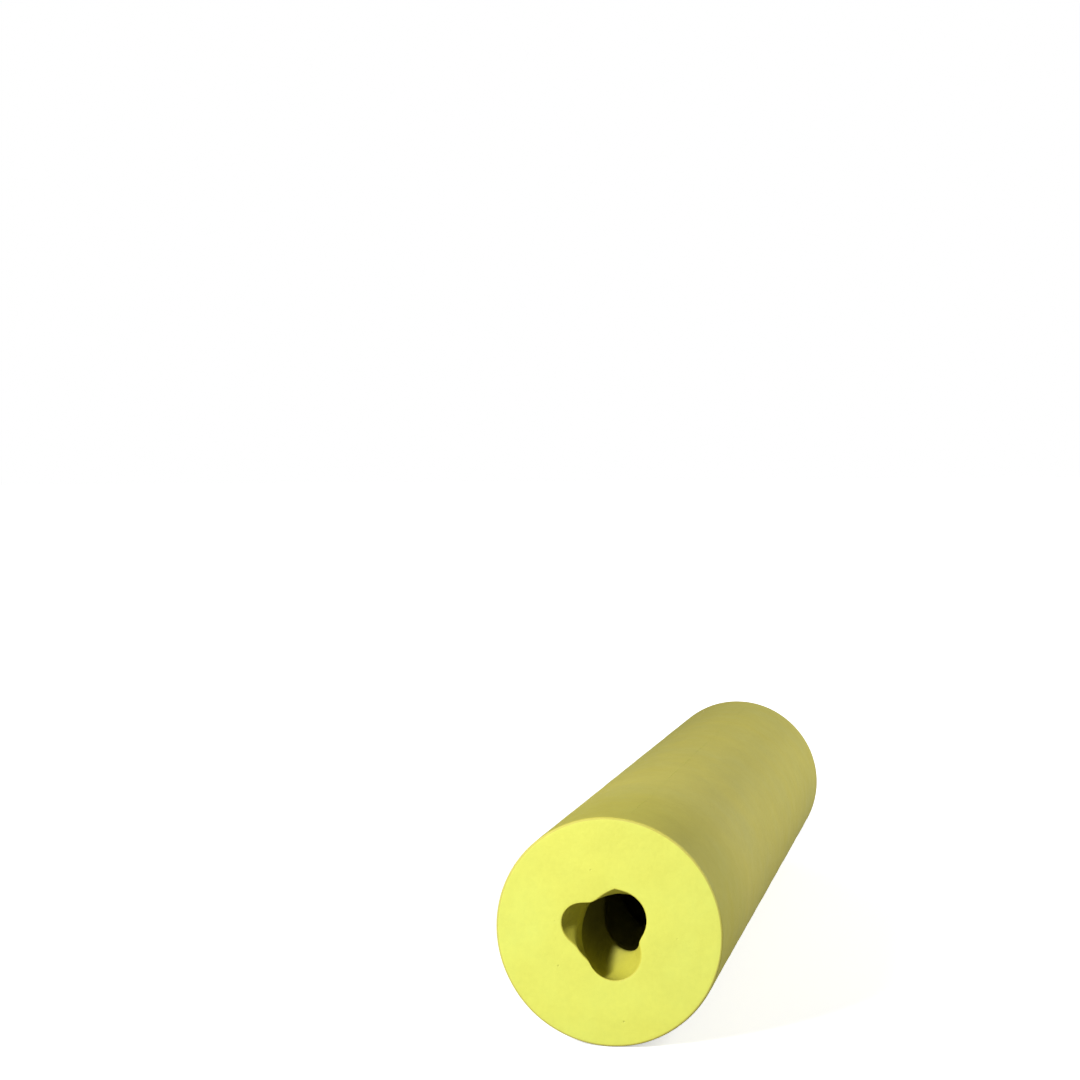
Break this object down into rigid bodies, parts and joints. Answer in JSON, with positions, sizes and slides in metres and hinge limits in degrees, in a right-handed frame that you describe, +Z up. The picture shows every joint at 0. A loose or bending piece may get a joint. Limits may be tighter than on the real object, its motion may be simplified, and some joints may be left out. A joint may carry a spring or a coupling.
{
  "type": "candle mold",
  "caption": "Flexible cylindrical mold for a twisted taper candle, lying on its side, slit along the top so its two halves spread on an uncut wall.",
  "frame": {"origin": "on the ground under the middle of the lying mold, on the line where the cylinder touches the ground", "axes": "+Y along the cavity from the mouth to the closed tip end, +Z up, +X to the right as seen from the mouth; the slit is on top and the uncut wall is below"},
  "size_m": [0.0634, 0.273, 0.0635],
  "materials": {
    "polyurethane": "matte"
  },
  "bodies": {
    "hinge_web": {"hinge_web": "polyurethane"},
    "left_half": {"left_half": "polyurethane"},
    "right_half": {"right_half": "polyurethane"}
  },
  "joints": [
    {"name": "left_spread", "type": "hinge", "parent": "hinge_web", "child": "left_half", "pos_m": [-0.007, 0, 0.00078], "axis": [0, -1, 0], "range_deg": [0, 25], "stiffness_Nm_per_rad": 2, "springref_deg": -2.86},
    {"name": "right_spread", "type": "hinge", "parent": "hinge_web", "child": "right_half", "pos_m": [0.007, 0, 0.00078], "axis": [0, 1, 0], "range_deg": [0, 25], "stiffness_Nm_per_rad": 2, "springref_deg": -2.86}
  ],
  "couplings": [
    {"joint": "right_spread", "follows": "left_spread", "ratio": 1}
  ]
}
